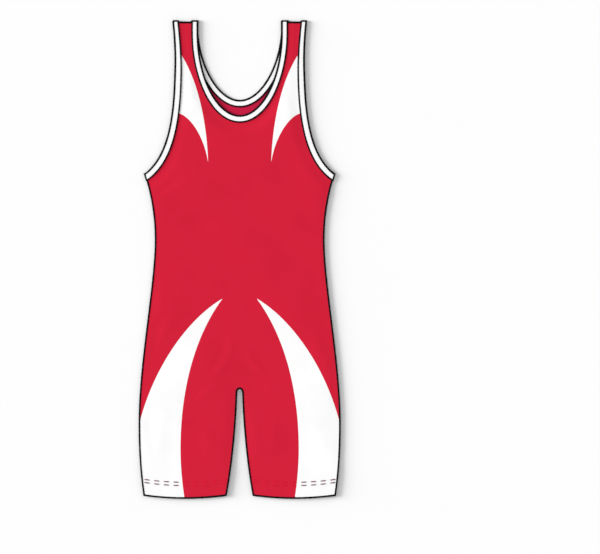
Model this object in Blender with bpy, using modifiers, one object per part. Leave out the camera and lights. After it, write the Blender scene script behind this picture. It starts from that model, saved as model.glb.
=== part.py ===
"""A wrestling singlet laid out flat, front up, as its sewn pieces.

The singlet lies on its back panel with the shoulders towards +Y and the wearer's left at +X. The origin is on
the resting plane, in the middle of the length and the width. Every piece is a cloth wall or a folded strip,
and neighbouring pieces keep a narrow seam gap.
"""

import math
from collections import namedtuple

import bmesh
import bpy
from mathutils import Vector
from mathutils.geometry import interpolate_bezier

MM = 0.001

# Driving dimensions
CLOTH = 1.0 * MM
SEAM_GAP = 0.3 * MM
BINDING_WIDTH = 11.0 * MM
BINDING_THICKNESS = 1.8 * MM
BINDING_ROUNDING = 0.5 * MM
HALF_LENGTH = 421.0 * MM
HEM_BOW = 5.0 * MM
HEM_DEPTH = 30.0 * MM
FIELD_LOFT = 1.2 * MM
NECK_SPACING = 13.0 * MM
TIP_BLUNTNESS = 0.5 * MM
TINY = 0.001 * MM

# The cut lines of the right half of the pattern, as Bezier stretches of start, two handles and end.
# Each point is its distance out from the middle and its height up from the origin, in mm.
CUT_LINES = {
    "armhole": (
        ((108.8, 417.5), (106, 392), (103.5, 362), (103.5, 338)),
        ((103.5, 338), (103.5, 235), (120, 170), (163.6, 140)),
    ),
    "side": (
        ((163.6, 140), (154, 108), (148.5, 72), (148.5, 35)),
        ((148.5, 35), (148.5, -45), (177, -180), (177, -290)),
        ((177, -290), (177, -335), (175, -372), (168.5, -416)),
    ),
    "front_neck": (
        ((85, 417.5), (85, 411), (85, 406), (85, 400)),
        ((85, 400), (85, 310), (45, 242.5), (0, 242.5)),
    ),
    "back_neck": (
        ((85, 417.5), (85, 411), (85, 406), (85, 400)),
        ((85, 400), (80, 330), (43, 269.5), (0, 269.5)),
    ),
    "inseam": (
        ((0, -226.5), (3.4, -226.5), (5, -230.5), (5.2, -238)),
        ((5.2, -238), (6.5, -290), (14, -365), (24, -416)),
    ),
    "chest_inner": (((104.2, 363), (76, 320), (58, 250), (55.5, 170)),),
    "chest_lower": (((107.8, 258), (86, 252), (62, 215), (55.5, 170)),),
    "thigh_inner": (
        ((29.7, -68.5), (72, -125), (104.2, -215), (104.2, -335)),
        ((104.2, -335), (104.2, -365), (100, -398), (97, -416)),
    ),
    "thigh_outer": (((29.7, -68.5), (92, -105), (152, -190), (177, -290)),),
}
CURVE_STEPS = 48

# Heights where the cut lines start, end or turn a corner
STRAP_TOP = 417.5 * MM
INSERT_TOP = 363 * MM
INSERT_SIDE = 258 * MM
CHEST_TIP = 170 * MM
UNDERARM = 140 * MM
THIGH_TIP = -68.5 * MM
CROTCH = -226.5 * MM
CROTCH_ROUND = -238 * MM
THIGH_SIDE = -290 * MM
HEM = -416 * MM
UNDERARM_CORNER = Vector((4.4, 10.6, 0)).normalized()

Band = namedtuple("Band", "top bottom spacing")
BANDS = (
    Band(STRAP_TOP, STRAP_TOP - 16 * MM, 8 * MM),
    Band(UNDERARM, THIGH_TIP, 30 * MM),
    Band(THIGH_TIP, THIGH_TIP - 30 * MM, 8 * MM),
    Band(THIGH_TIP - 30 * MM, CROTCH, 16 * MM),
    Band(CROTCH, CROTCH_ROUND, 3 * MM),
    Band(CROTCH_ROUND, THIGH_SIDE, 17 * MM),
    Band(THIGH_SIDE, HEM + HEM_DEPTH, 18 * MM),
    Band(HEM + HEM_DEPTH, HEM, 10 * MM),
)
CHEST_SPACING = 14 * MM
TIP_REACH = 9 * MM
TIP_SPACING = 3 * MM

# Heights of the layers above the resting plane
BACK_BINDING_MID = BINDING_THICKNESS / 2
FRONT_BINDING_BASE = BINDING_THICKNESS + SEAM_GAP
SIDE_SEAM_TOP = 2 * CLOTH + SEAM_GAP
HEM_TOP = 4 * CLOTH + 3 * SEAM_GAP
SHOULDER_RADIUS = (FRONT_BINDING_BASE + CLOTH) / 2
HEM_RADIUS = CLOTH + SEAM_GAP / 2

Row = namedtuple("Row", "y kind angle")
Insert = namedtuple("Insert", "inner outer top bottom")
CHEST_INSERT = Insert("chest_inner", "chest_lower", INSERT_TOP, CHEST_TIP)
THIGH_INSERT = Insert("thigh_inner", "thigh_outer", THIGH_TIP, HEM)

RED = (0.66, 0.017, 0.044, 1)
WHITE = (0.87, 0.87, 0.86, 1)


def clear_scene():
    for found in list(bpy.data.objects):
        bpy.data.objects.remove(found)


def material(name, color):
    made = bpy.data.materials.new(name)
    made.use_nodes = True
    shader = made.node_tree.nodes["Principled BSDF"]
    shader.inputs["Base Color"].default_value = color
    shader.inputs["Roughness"].default_value = 0.6
    shader.inputs["Metallic"].default_value = 0.0
    return made


def cut_line(name):
    """The points along a cut line, from its start to its end."""
    points = []
    for stretch in CUT_LINES[name]:
        corners = [Vector((x, y, 0)) * MM for x, y in stretch]
        points += interpolate_bezier(*corners, CURVE_STEPS)[bool(points):]
    return points


LINES = {name: cut_line(name) for name in CUT_LINES}


def out_at(name, y):
    """How far from the middle the cut line lies at height y, and the way it runs there."""
    points = LINES[name]
    for upper, lower in zip(points, points[1:]):
        if lower.y <= y <= upper.y:
            share = (upper.y - y) / max(upper.y - lower.y, 1e-9)
            return upper.x + (lower.x - upper.x) * share, (lower - upper).normalized()
    end = points[0] if y > points[0].y else points[-1]
    return end.x, Vector((0, -1, 0))


def smooth(low, high, value):
    """0 below low, 1 above high, and a soft S between."""
    t = min(max((value - low) / (high - low), 0), 1)
    return t * t * (3 - 2 * t)


def distance_to(name, x, y):
    here = Vector((x, y, 0))
    return min((here - point).length for point in LINES[name])


def inner_edge(neck, y):
    """Where the panel starts, counted out from the middle: the neck, the middle itself, or the inseam."""
    if y > LINES[neck][-1].y:
        return out_at(neck, y)[0]
    return 0.0 if y >= CROTCH else out_at("inseam", y)[0]


def outer_edge(y):
    return out_at("armhole" if y > UNDERARM else "side", y)[0]


def insert_start(y):
    """The insert's edge nearest the middle. Where there is no insert, both its edges are one line."""
    if y > INSERT_TOP:
        return (inner_edge("front_neck", y) + outer_edge(y)) / 2
    if y >= CHEST_TIP:
        return min(out_at("chest_inner", y)[0], outer_edge(y))
    if y > THIGH_TIP:
        share = (CHEST_TIP - y) / (CHEST_TIP - THIGH_TIP)
        return LINES["chest_inner"][-1].x * (1 - share) + LINES["thigh_inner"][0].x * share
    return out_at("thigh_inner", y)[0]


def insert_end(y):
    """The insert's edge nearest the armhole or the side seam."""
    if y == INSERT_TOP or INSERT_SIDE <= y < INSERT_TOP or y <= THIGH_SIDE:
        return outer_edge(y)
    if CHEST_TIP <= y < INSERT_SIDE:
        return out_at("chest_lower", y)[0]
    if THIGH_SIDE < y <= THIGH_TIP:
        return min(out_at("thigh_outer", y)[0], outer_edge(y))
    return insert_start(y)


def neck_base(y):
    """The underside of the front neck edge: over the back binding at the straps, on the back panel below."""
    low = CLOTH + SEAM_GAP
    return low + (FRONT_BINDING_BASE - low) * smooth(252 * MM, 285 * MM, y)


def front_top(x, y):
    """Height of the front's outer surface over the resting plane."""
    to_side = max(outer_edge(y) - x, 0) if y <= UNDERARM else distance_to("side", x, y)
    if y < CROTCH:
        to_side = min(to_side, max(x - inner_edge("front_neck", y), 0))
    height = SIDE_SEAM_TOP + FIELD_LOFT * (1 - math.exp(-to_side / (18 * MM)))
    if y > 0:
        near_arm = 1 - smooth(3 * MM, 28 * MM, distance_to("armhole", x, y))
        near_neck = 1 - smooth(3 * MM, 28 * MM, distance_to("front_neck", x, y))
        height += (FRONT_BINDING_BASE + CLOTH - height) * near_arm
        height += (neck_base(y) + CLOTH - height) * near_neck * (1 - near_arm)
    near_hem = 1 - smooth(HEM_DEPTH + 3 * MM, 2.5 * HEM_DEPTH, y - HEM)
    return height + (HEM_TOP - height) * near_hem


def hem_drop(x, y):
    """How far the hem's downward bow lowers a point of the leg."""
    near_hem = 1 - smooth(0, 3 * HEM_DEPTH, y - HEM)
    inner, outer = out_at("inseam", y)[0], out_at("side", y)[0]
    across = min(max((x - inner) / (outer - inner), 0), 1)
    return HEM_BOW * 4 * across * (1 - across) * near_hem


def rows(neck):
    """The panel's rows from the shoulder fold to the edge of the turned-up hem."""
    neck_bottom = LINES[neck][-1].y
    heights = [point.y for point in even_points(LINES[neck][CURVE_STEPS - 1:], NECK_SPACING)]
    for band in (*BANDS, Band(neck_bottom, UNDERARM, CHEST_SPACING)):
        heights += spaced(band)
    marks = [UNDERARM]
    if neck == "front_neck":
        marks += [INSERT_SIDE]
        for top in (INSERT_TOP, CHEST_TIP + TIP_REACH, THIGH_TIP):
            marks += spaced(Band(top, top - TIP_REACH, TIP_SPACING))
    kept = [y for y in heights if all(abs(y - mark) > 2.4 * MM for mark in marks)]
    heights = sorted({round(y, 7) for y in (*kept, *marks, neck_bottom)}, reverse=True)
    shoulder = [Row(STRAP_TOP, "shoulder", math.radians(a)) for a in (64, 52, 26)]
    hem = [Row(HEM, "hem", math.radians(a)) for a in (45, 90, 135)]
    turned = [Row(y, "turned", math.pi) for y in (HEM, HEM + HEM_DEPTH / 2, HEM + HEM_DEPTH)]
    return shoulder + [Row(y, "flat", 0) for y in heights] + hem + turned


def spaced(band):
    count = max(round((band.top - band.bottom) / band.spacing), 1)
    return [band.top + (band.bottom - band.top) * i / count for i in range(count + 1)]


def even_points(points, spacing):
    """Points along a line at about even spacing, with both ends."""
    lengths = [0.0]
    for a, b in zip(points, points[1:]):
        lengths.append(lengths[-1] + (b - a).length)
    count = round(lengths[-1] / spacing)
    found = []
    for i in range(count + 1):
        goal = lengths[-1] * i / count
        at = max(j for j, length in enumerate(lengths) if length <= goal + 1e-9)
        at = min(at, len(points) - 2)
        share = (goal - lengths[at]) / (lengths[at + 1] - lengths[at])
        found.append(points[at].lerp(points[at + 1], share))
    return found


def place(layer, x, row):
    """The point of a panel's outer surface at distance x from the middle on this row."""
    facing = 1 if layer == "front" else -1
    surface = front_top(x, row.y) if layer == "front" else 0.0
    y, z = row.y - hem_drop(x, row.y), surface
    if row.kind == "shoulder":
        y += SHOULDER_RADIUS * math.sin(row.angle)
        z -= facing * SHOULDER_RADIUS * (1 - math.cos(row.angle))
    elif row.kind == "hem":
        y += HEM_RADIUS * (1 - math.sin(row.angle))
        z -= facing * HEM_RADIUS * (1 - math.cos(row.angle))
    elif row.kind == "turned":
        y += HEM_RADIUS
        z = facing * (HEM_TOP if layer == "front" else 0) - facing * 2 * HEM_RADIUS
    elif row.y <= HEM:
        y += HEM_RADIUS
    return Vector((x, y, z))


def strip(mesh, layer, panel_rows, start, end, columns):
    """Adds a strip of faces between two lines, start and end, each a function of height."""
    grid = []
    for row in panel_rows:
        low, high = start(row.y), end(row.y)
        across = [low + (high - low) * i / columns for i in range(columns + 1)]
        grid.append([mesh.verts.new(place(layer, x, row)) for x in across])
    for upper, lower in zip(grid, grid[1:]):
        for i in range(columns):
            corners = (upper[i], lower[i], lower[i + 1], upper[i + 1])
            mesh.faces.new(corners if layer == "front" else corners[::-1])


def finish_mesh(name, mesh, finish, collection, sign=1):
    bmesh.ops.remove_doubles(mesh, verts=mesh.verts, dist=0.02 * MM)
    bmesh.ops.dissolve_degenerate(mesh, edges=mesh.edges, dist=0.01 * MM)
    loose = [edge for edge in mesh.edges if not edge.link_faces]
    bmesh.ops.delete(mesh, geom=loose, context="EDGES")
    if sign < 0:
        bmesh.ops.scale(mesh, vec=(-1, 1, 1), verts=mesh.verts)
        bmesh.ops.reverse_faces(mesh, faces=mesh.faces)
    data = bpy.data.meshes.new(name)
    mesh.to_mesh(data)
    mesh.free()
    made = bpy.data.objects.new(name, data)
    data.materials.append(finish)
    collection.objects.link(made)
    return made


def mirrored(made):
    modifier = made.modifiers.new("other_half", "MIRROR")
    modifier.merge_threshold = 0.05 * MM


def walled(made):
    modifier = made.modifiers.new("cloth", "SOLIDIFY")
    modifier.thickness = CLOTH
    modifier.offset = -1
    made.data.shade_smooth()


def front_body(collection, finish):
    mesh = bmesh.new()
    panel_rows = rows("front_neck")
    strip(mesh, "front", panel_rows, lambda y: inner_edge("front_neck", y), insert_start, 4)
    strip(mesh, "front", panel_rows, insert_end, outer_edge, 2)
    made = finish_mesh("front_body", mesh, finish, collection)
    mirrored(made)
    walled(made)


def back_body(collection, finish):
    mesh = bmesh.new()
    strip(mesh, "back", rows("back_neck"), lambda y: inner_edge("back_neck", y), outer_edge, 4)
    made = finish_mesh("back_body", mesh, finish, collection)
    mirrored(made)
    walled(made)


def seam_shift(line, y):
    """The seam gap, measured straight across where the cut line slants."""
    return SEAM_GAP / max(abs(out_at(line, y)[1].y), 0.25)


def insert(name, cut, sign, collection, finish):
    """A contrast panel, a seam gap smaller than the hole in the front that it fills."""

    def start(y):
        return insert_start(y) + seam_shift(cut.inner, y)

    def end(y):
        on_panel_edge = y > INSERT_SIDE or y < THIGH_SIDE
        return insert_end(y) - (0 if on_panel_edge else seam_shift(cut.outer, y))

    mesh = bmesh.new()
    filled = [
        row
        for row in rows("front_neck")
        if cut.bottom <= row.y < cut.top and end(row.y) - start(row.y) > TIP_BLUNTNESS
    ]
    strip(mesh, "front", filled, start, end, 2)
    walled(finish_mesh(name, mesh, finish, collection, sign))


def binding_stations(neck_or_arm, layer):
    """(point on the panel's edge, way out of the panel, height of the strip's middle) along a bound edge."""
    if neck_or_arm == "armhole":
        line, neck, toward = "armhole", f"{layer}_neck", 1
    else:
        line, neck, toward = f"{layer}_neck", f"{layer}_neck", -1
    low = LINES[line][-1].y
    heights = [row.y for row in rows(neck) if row.kind == "flat" and row.y > low - TINY]
    found = []
    for y in heights:
        x, way = out_at(line, y)
        outward = Vector((way.y, -way.x, 0)) * -toward
        if y < low + TINY:
            outward = UNDERARM_CORNER if line == "armhole" else Vector((0, 1, 0))
        if layer == "back":
            middle = BACK_BINDING_MID
        elif line == "armhole":
            middle = FRONT_BINDING_BASE + BINDING_THICKNESS / 2
        else:
            middle = neck_base(y) + BINDING_THICKNESS / 2
        found.append((Vector((x, y, 0)), outward.normalized(), middle))
    return found


def binding_ring(mesh, edge, outward, center, facing):
    """One section of the folded strip: its flat width out of the panel, its thickness along facing."""
    half = BINDING_THICKNESS / 2
    fold = SEAM_GAP + BINDING_WIDTH
    section = (
        (SEAM_GAP, -half),
        (fold - BINDING_ROUNDING, -half),
        (fold, -half + BINDING_ROUNDING),
        (fold, half - BINDING_ROUNDING),
        (fold - BINDING_ROUNDING, half),
        (SEAM_GAP, half),
    )
    return [
        mesh.verts.new(edge + center + outward * across + facing * through)
        for across, through in section
    ]


def turn_over(mesh, edge, outward, along, heights):
    """The sections where the strip folds over from the front layer to the back layer."""
    front_middle, back_middle = heights
    radius = (front_middle - back_middle) / 2
    center = Vector((0, 0, (front_middle + back_middle) / 2))
    found = []
    for degrees in (30, 60, 90, 120, 150):
        angle = math.radians(degrees)
        facing = Vector((0, 0, math.cos(angle))) + along * math.sin(angle)
        found.append(binding_ring(mesh, edge, outward, center + facing * radius, facing))
    return found


def run_of(mesh, stations, facing):
    return [
        binding_ring(mesh, edge, outward, Vector((0, 0, middle)), Vector((0, 0, facing)))
        for edge, outward, middle in stations
    ]


def joined(mesh, rings, closed):
    pairs = list(zip(rings, rings[1:] + rings[:1])) if closed else list(zip(rings, rings[1:]))
    for a, b in pairs:
        for i in range(len(a)):
            j = (i + 1) % len(a)
            mesh.faces.new((a[i], b[i], b[j], a[j]))
    bmesh.ops.recalc_face_normals(mesh, faces=mesh.faces)


def shoulder_end(station):
    """The last section before the shoulder fold, which stands a little proud of the strap's cloth."""
    edge, outward, middle = station
    reach = (FRONT_BINDING_BASE + BINDING_THICKNESS / 2 - BACK_BINDING_MID) / 2 + BINDING_THICKNESS / 2
    return Vector((edge.x, HALF_LENGTH - reach, 0)), Vector((math.copysign(1, outward.x), 0, 0)), middle


def armhole_binding(name, sign, collection, finish):
    mesh = bmesh.new()
    front = binding_stations("armhole", "front")
    back = binding_stations("armhole", "back")
    front.insert(0, shoulder_end(front[0]))
    back.insert(0, shoulder_end(back[0]))
    heights = (front[0][2], back[0][2])
    under_edge, under_out, _ = front[-1]
    side_ways = Vector((under_out.y, -under_out.x, 0))
    rings = run_of(mesh, front, 1)
    rings += turn_over(mesh, under_edge, under_out, side_ways, heights)
    rings += run_of(mesh, back[::-1], -1)
    shoulder = turn_over(mesh, back[0][0], back[0][1], Vector((0, 1, 0)), heights)
    rings += shoulder[::-1]
    joined(mesh, rings, closed=True)
    finish_mesh(name, mesh, finish, collection, sign)


def neck_binding(collection, finish):
    mesh = bmesh.new()
    front = binding_stations("neck", "front")
    back = binding_stations("neck", "back")
    front.insert(0, shoulder_end(front[0]))
    back.insert(0, shoulder_end(back[0]))
    heights = (front[0][2], back[0][2])
    rings = run_of(mesh, front[::-1], 1)
    rings += turn_over(mesh, front[0][0], front[0][1], Vector((0, 1, 0)), heights)
    rings += run_of(mesh, back, -1)
    joined(mesh, rings, closed=False)
    mirrored(finish_mesh("neck_binding", mesh, finish, collection))


def build():
    clear_scene()
    collection = bpy.data.collections.new("wrestling_singlet")
    bpy.context.scene.collection.children.link(collection)
    red = material("red_knit", RED)
    white = material("white_knit", WHITE)
    front_body(collection, red)
    back_body(collection, red)
    neck_binding(collection, white)
    for wearer_side, sign in (("left", 1), ("right", -1)):
        insert(f"chest_insert_{wearer_side}", CHEST_INSERT, sign, collection, white)
        insert(f"thigh_insert_{wearer_side}", THIGH_INSERT, sign, collection, white)
        armhole_binding(f"armhole_binding_{wearer_side}", sign, collection, white)


build()
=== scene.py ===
"""A wrestling singlet laid out flat, front up: stretch knit with bound edges and overlocked seams.

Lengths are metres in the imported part's frame: +Y runs towards the shoulders, +X towards the wearer's
left, and the cloth rests at height 0. Each cloth piece is a thin wall on a grid laid out from the same
cut lines as the part. Knit, thread and floor finishes are node materials.
"""

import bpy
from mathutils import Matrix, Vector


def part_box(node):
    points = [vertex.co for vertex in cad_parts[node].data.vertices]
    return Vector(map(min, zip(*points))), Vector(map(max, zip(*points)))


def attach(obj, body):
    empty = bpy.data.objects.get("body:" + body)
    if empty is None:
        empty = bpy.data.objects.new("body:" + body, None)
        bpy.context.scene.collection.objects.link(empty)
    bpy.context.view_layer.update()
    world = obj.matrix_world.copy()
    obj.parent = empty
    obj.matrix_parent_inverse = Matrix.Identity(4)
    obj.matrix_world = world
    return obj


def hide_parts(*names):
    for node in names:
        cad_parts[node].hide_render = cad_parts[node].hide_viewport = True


bl_info = {
    "name": "Wrestling Singlet",
    "version": (1, 0, 0),
    "blender": (4, 5, 0),
    "location": "3D View > Sidebar > Singlet",
    "description": "Builds a laid-out wrestling singlet piece by piece, with its floor and light",
    "category": "Add Mesh",
}

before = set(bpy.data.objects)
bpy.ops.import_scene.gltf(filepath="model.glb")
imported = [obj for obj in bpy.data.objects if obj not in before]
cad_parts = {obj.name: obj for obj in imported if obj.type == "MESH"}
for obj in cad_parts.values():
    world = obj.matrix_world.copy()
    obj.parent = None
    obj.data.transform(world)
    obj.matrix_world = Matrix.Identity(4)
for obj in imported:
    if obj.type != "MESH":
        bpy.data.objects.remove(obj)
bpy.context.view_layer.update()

import math
from collections import namedtuple

import bmesh
import bpy
import numpy as np
from bpy.props import FloatProperty, FloatVectorProperty, PointerProperty
from mathutils import Vector

MM = 0.001
BODY = "root"

# The cut lines of the wearer's left half, as Bezier stretches of start, two handles and end.
# Each point is its distance out from the middle and its height up from the origin, in mm.
CUT_LINES = {
    "armhole": (
        ((108.8, 417.5), (106, 392), (103.5, 362), (103.5, 338)),
        ((103.5, 338), (103.5, 235), (120, 170), (163.6, 140)),
    ),
    "side": (
        ((163.6, 140), (154, 108), (148.5, 72), (148.5, 35)),
        ((148.5, 35), (148.5, -45), (177, -180), (177, -290)),
        ((177, -290), (177, -335), (175, -372), (168.5, -416)),
    ),
    "front_neck": (
        ((85, 417.5), (85, 411), (85, 406), (85, 400)),
        ((85, 400), (85, 310), (45, 242.5), (0, 242.5)),
    ),
    "back_neck": (
        ((85, 417.5), (85, 411), (85, 406), (85, 400)),
        ((85, 400), (80, 330), (43, 269.5), (0, 269.5)),
    ),
    "inseam": (
        ((0, -227.5), (4.2, -227.5), (5.5, -230.5), (5.6, -238)),
        ((5.6, -238), (7, -290), (14, -365), (24, -416)),
    ),
    "chest_inner": (((104.2, 363), (76, 320), (58, 250), (55.5, 170)),),
    "chest_lower": (((107.8, 258), (86, 252), (62, 215), (55.5, 170)),),
    "thigh_inner": (
        ((29.7, -68.5), (72, -125), (104.2, -215), (104.2, -335)),
        ((104.2, -335), (104.2, -365), (100, -398), (97, -416)),
    ),
    "thigh_outer": (((29.7, -68.5), (92, -105), (152, -190), (177, -290)),),
}
CURVE_STEPS = 96

# Heights where the cut lines start, end or turn a corner
STRAP_TOP = 417.5 * MM
INSERT_TOP = 363 * MM
INSERT_SIDE = 258 * MM
CHEST_TIP = 170 * MM
UNDERARM = 140 * MM
THIGH_TIP = -68.5 * MM
CROTCH = -227.5 * MM
CROTCH_ROUND = -238 * MM
THIGH_SIDE = -290 * MM
HEM = -416 * MM
HEM_BOW = 5 * MM
# The front's neck edge climbs from the back cloth onto the back's binding between these heights
NECK_CLIMB = (252 * MM, 285 * MM)
# Which way the armhole strip's end runs from the underarm, as long as the strip's slant makes it,
# and how far before that end the strip starts to turn
UNDERARM_CUT = np.array((0.31, 1.01, 0.0))
CUT_REACH = 20 * MM
# The share of its width that the armhole strip loses between a height and the strap top
STRAP_NARROWING = 0.22
NARROWING_START = 300 * MM

# Heights of the layers above the resting plane
LAYER = 1.0 * MM
LAYER_GAP = 0.3 * MM
STRIP_THICKNESS = 1.8 * MM
BACK_STRIP_MID = STRIP_THICKNESS / 2
FRONT_STRIP_BASE = STRIP_THICKNESS + LAYER_GAP
SIDE_SEAM_TOP = 2 * LAYER + LAYER_GAP
# How far the soft, rolled side seams stand over two flat layers, and the share that is left of it
# once it has faded between two heights, where the chest lies flatter
EDGE_ROLL = 1.6 * MM
CHEST_ROLL = 0.5
ROLL_FADE = (UNDERARM - 10 * MM, UNDERARM + 60 * MM)
# How far in from an edge the front has risen, its binding lets go of it, and its creases start;
# FAR is more than any of them
LOFT_REACH = 16 * MM
BINDING_REACH = (3 * MM, 24 * MM)
CREASE_REACH = (2 * MM, 20 * MM)
FAR = 1.0
# Shares of the creases and of the seams' dip that the hem's four layers flatten
HEM_CALM = 0.8
HEM_SEAM_CALM = 0.6
HEM_TOP = 4 * LAYER + 3 * LAYER_GAP
SHOULDER_RADIUS = (FRONT_STRIP_BASE + LAYER) / 2
HEM_RADIUS = LAYER + LAYER_GAP / 2
STRIP_TURN = (FRONT_STRIP_BASE + STRIP_THICKNESS / 2 - BACK_STRIP_MID) / 2
STRIP_TOP_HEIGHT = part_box("neck_binding")[1].y - STRIP_TURN - STRIP_THICKNESS / 2

# Degrees round the folds of the shoulder and the hem, and round a binding's turn, that have a row
SHOULDER_ANGLES = (66, 52, 34, 16)
HEM_ANGLES = (30, 60, 90, 120, 150)
STRIP_ANGLES = (25, 50, 75, 90, 105, 130, 155)
TURNED_ROWS = 7
# Rows that lie 1 mm apart at a corner of the cut lines, and how near to one no other row comes
CLOSE_ROWS = 7
ROW_CLEARANCE = 0.6 * MM
# Columns of each half of the back and of the front's middle, of its sides and of an insert
HALF_COLUMNS = 26
SIDE_COLUMNS = 24
INSERT_COLUMNS = 20
STRIP_SPACING = 2.2 * MM
SEAM_SPACING = 2 * MM
DOUBLES_DISTANCE = 0.01 * MM
SLIVER_DISTANCE = 0.005 * MM
SHARP_ANGLE = math.radians(50)

# How far the middle of an edge thread stands over the middle of the cloth or strip it wraps
THREAD_RISE = 0.35 * MM
STRIP_THREAD_RISE = 0.2 * MM
STRIP_END_MIDDLE = (FRONT_STRIP_BASE + STRIP_THICKNESS) / 2 + STRIP_THREAD_RISE
STRAP_MIDDLE = SHOULDER_RADIUS + 0.6 * MM
UPPER_HEM_HALF_HEIGHT = HEM_RADIUS + 1.8 * THREAD_RISE
LOWER_HEM_HALF_HEIGHT = HEM_RADIUS + THREAD_RISE
# How far inside an edge the middle of its thread lies, and how far outside the strip's end
SEAM_INSET = 0.5 * MM
HEM_INSET = 0.7 * MM
STRIP_INSET = 0.5 * MM
STRAP_INSET = 1.0 * MM
UNDERARM_OUTSET = 0.4 * MM
# How far the thread over a binding's seam lies from the seam: onto the cloth at the armhole, and
# onto the strip at the neck, where it moves over on the way up the strap
ARMHOLE_SEAM_SHIFT = -0.3 * MM
NECK_SEAM_SHIFT = 1.2 * MM
NECK_SHIFT_HEIGHTS = (245 * MM, 320 * MM)
# What of a wrap lies lower than this share of its half height is pressed flat on the floor
PRESSED_SHARE = 0.26
PRESSED_HEIGHT = -0.04 * MM

# The hem's stitches: how far under the turn-up's raw edge each row lies, how far the left leg's are
# shifted, how much more than the hem they bow, and how far their middle stands over the cloth
STITCH_ROWS = (0.95 * MM, 6.25 * MM)
STITCH_SHIFTS = ((-1, 0), (1, 0.9 * MM))
STITCH_BOW = 1.5
STITCH_RISE = 0.15 * MM
# Middle of the outermost stitch of a row in mm, how many a row has, and how many are on the insert
OUTERMOST_STITCH = 163.2
STITCHES = 9
INSERT_STITCHES = 4
# Half width of a stitch's two plies together, on the inserts and on the red
INSERT_STITCH_RADIUS = 0.95 * MM
RED_STITCH_RADIUS = 0.55 * MM

FLOOR_SIZE = 16
FLOOR_HEIGHT = -0.1 * MM
SENSOR_WIDTH = 36

Row = namedtuple("Row", "y kind angle")
Frames = namedtuple("Frames", "at out up")
Run = namedtuple("Run", "frames half_height width")
Cut = namedtuple("Cut", "inner outer top bottom")
CHEST_CUT = Cut("chest_inner", "chest_lower", INSERT_TOP, CHEST_TIP)
THIGH_CUT = Cut("thigh_inner", "thigh_outer", THIGH_TIP, HEM)

# Soft creases in the front, in mm and degrees: middle, direction, length, half width, height and bow
Crease = namedtuple("Crease", "x y turn length spread height bow")
CREASES = (
    Crease(-114, 116, 30, 92, 8, 1.0, 6),
    Crease(-96, 82, 18, 74, 11, 0.8, -5),
    Crease(118, 110, 148, 84, 8, 0.9, -6),
    Crease(100, 66, 165, 62, 12, 0.7, 4),
    Crease(-38, 34, 5, 150, 14, 0.6, 8),
    Crease(50, 6, -7, 124, 12, 0.8, -7),
    Crease(-104, -20, 14, 58, 9, 0.8, 3),
    Crease(116, -38, -16, 54, 9, 0.7, 4),
    Crease(8, -76, 3, 112, 17, 0.5, -9),
    Crease(-124, -124, 62, 96, 10, 0.8, 6),
    Crease(130, -150, 116, 78, 10, 0.7, -6),
    Crease(-36, -186, 50, 84, 7, 1.0, -6),
    Crease(31, -180, 128, 72, 7, 1.0, 6),
    Crease(-14, -150, 76, 48, 8, 0.6, 2),
    Crease(60, -222, 142, 74, 9, 0.7, 4),
    Crease(-64, -236, 36, 84, 9, 0.8, -5),
    Crease(-132, -296, 83, 116, 12, 0.8, 7),
    Crease(-60, -318, 96, 92, 10, 0.6, -5),
    Crease(66, -302, 85, 104, 11, 0.7, 6),
    Crease(138, -326, 98, 88, 11, 0.6, -5),
    Crease(-34, 204, -14, 84, 12, 0.6, 5),
    Crease(38, 186, 16, 92, 13, 0.6, -6),
    Crease(4, 142, 1, 124, 18, 0.5, 6),
    Crease(-94, 322, 81, 56, 6, 0.35, 1),
    Crease(95, 300, 99, 48, 6, 0.35, -1),
)

# Broad unevenness, as sine waves: share of the height, radians per metre of X and of Y, and start
Wave = namedtuple("Wave", "share x y start")
WAVE_HEIGHT = 0.22 * MM
WAVES = (Wave(1.0, 31, 17, 0.6), Wave(0.8, 23, -38, 2.1), Wave(0.6, 53, 41, 0))


def length_setting(name, description, value):
    return FloatProperty(name=name, description=description, default=value, unit="LENGTH")


def angle_setting(name, description, degrees):
    return FloatProperty(
        name=name, description=description, default=math.radians(degrees), subtype="ANGLE"
    )


def colour_setting(name, description, value):
    return FloatVectorProperty(
        name=name, description=description, default=value, subtype="COLOR", size=3, min=0, max=1
    )


class SingletSizes(bpy.types.PropertyGroup):
    """Sizes of the singlet's cloth, strips and stitches."""

    cloth_thickness: length_setting("Cloth thickness", "Thickness of the knit", 0.8 * MM)
    grid: length_setting("Grid", "Spacing of the rows of a cloth piece", 3.5 * MM)
    loft: length_setting("Loft", "How far the front stands over its side seams", 0.5 * MM)
    crease: FloatProperty(
        name="Crease depth", description="Share of the creases' height", default=0.4, subtype="FACTOR"
    )
    seam_gap: length_setting("Seam gap", "Gap between sewn pieces", 0.04 * MM)
    seam_dip: length_setting("Seam dip", "How far a seam pulls the cloth down", 0.05 * MM)
    strip_width: length_setting("Binding width", "Folded width of the edge binding", 11 * MM)
    strip_thickness: length_setting("Binding thickness", "Thickness of the folded strip", 1.45 * MM)
    strip_wall: length_setting("Binding wall", "Thickness of the folded strip's cloth", 0.6 * MM)
    thread_width: length_setting("Edge thread width", "Width of an overlocked edge", 3.8 * MM)
    seam_thread_width: length_setting("Seam thread width", "Width of a binding seam's thread", 3.1 * MM)
    thread_pitch: length_setting("Edge thread pitch", "Distance between two wraps of thread", 1.3 * MM)
    hem_depth: length_setting("Hem depth", "How far the hem is turned up", 30 * MM)
    stitch_length: length_setting("Stitch length", "Length of a hem stitch", 10.5 * MM)
    stitch_pitch: length_setting("Stitch pitch", "Distance between two hem stitches", 17 * MM)


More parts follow.
